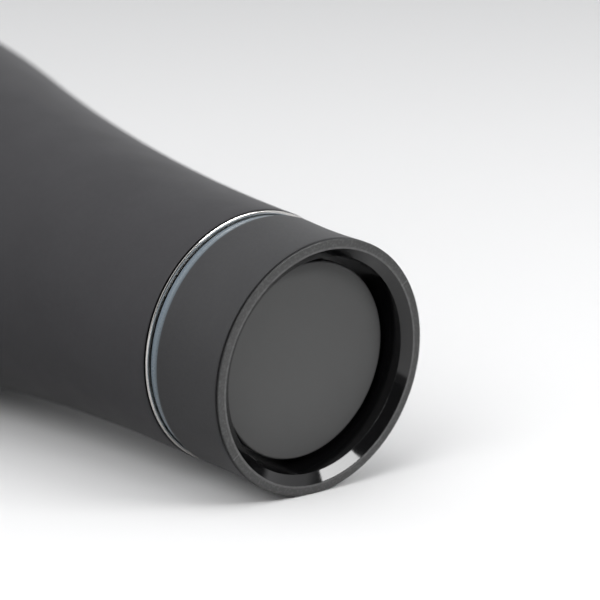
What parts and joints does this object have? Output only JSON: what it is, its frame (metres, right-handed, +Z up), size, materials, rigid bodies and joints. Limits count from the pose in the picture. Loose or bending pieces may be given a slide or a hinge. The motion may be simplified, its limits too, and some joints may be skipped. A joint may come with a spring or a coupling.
{
  "type": "vacuum flask",
  "caption": "Slim cola-bottle-shaped double-walled steel vacuum flask with a screw lid, a steel collar and a sunken push button that opens a ring-shaped drinking gap.",
  "frame": {"origin": "centre of the face that the flask stands on", "axes": "+Z up along the flask's axis, from the base to the drinking lip; X and Y are equal, and the getter lies on +X"},
  "size_m": [0.072, 0.072, 0.262],
  "materials": {
    "soft_touch_coat": "fine matte powder coat on steel",
    "brushed_liner": "circumferentially brushed stainless steel",
    "polished_collar": "polished bare stainless steel",
    "plain_steel": "satin stainless steel",
    "solder": "dull grey solder",
    "getter_alloy": "pressed dark alloy powder",
    "copper_foil": "bright thin foil",
    "base_rubber": "matte moulded rubber",
    "silicone": "translucent pale silicone",
    "lid_plastic": "fine matte moulded plastic",
    "lip_plastic": "matte face, glossy inner cone",
    "core_plastic": "glossy black food-safe plastic",
    "button_plastic": "even matte plastic",
    "spring_steel": "drawn stainless wire"
  },
  "bodies": {
    "flask": {"outer_shell": "soft_touch_coat", "inner_flask": "brushed_liner", "collar_ring": "polished_collar", "bottom_plate": "plain_steel", "vacuum_seal_plug": "solder", "getter": "getter_alloy", "getter_clip": "plain_steel", "copper_foil": "copper_foil", "base_pad": "base_rubber"},
    "mouth_seal": {"mouth_gasket": "silicone"},
    "lid": {"lid_sleeve": "lid_plastic", "lip_ring": "lip_plastic", "lid_core": "core_plastic", "plug_gasket": "silicone", "return_spring": "spring_steel"},
    "button": {"button_cap": "button_plastic", "valve_stem": "core_plastic", "valve_head": "core_plastic", "valve_seal": "silicone", "retaining_screw": "plain_steel"}
  },
  "joints": [
    {"name": "lid_lift", "type": "slide", "parent": "flask", "child": "mouth_seal", "axis": [0, 0, 1], "range_m": [0, 0.0301]},
    {"name": "lid_turn", "type": "hinge", "parent": "mouth_seal", "child": "lid", "pos_m": [0, 0, 0.2438], "axis": [0, 0, 1], "range_deg": [0, 1350]},
    {"name": "button_press", "type": "slide", "parent": "lid", "child": "button", "axis": [0, 0, -1], "range_m": [0, 0.0025], "stiffness_N_per_m": 400, "springref_m": -0.002, "deforming": ["return_spring"]}
  ],
  "couplings": [
    {"joint": "lid_lift", "follows": "lid_turn", "m_per_rad": 0.0012732}
  ]
}
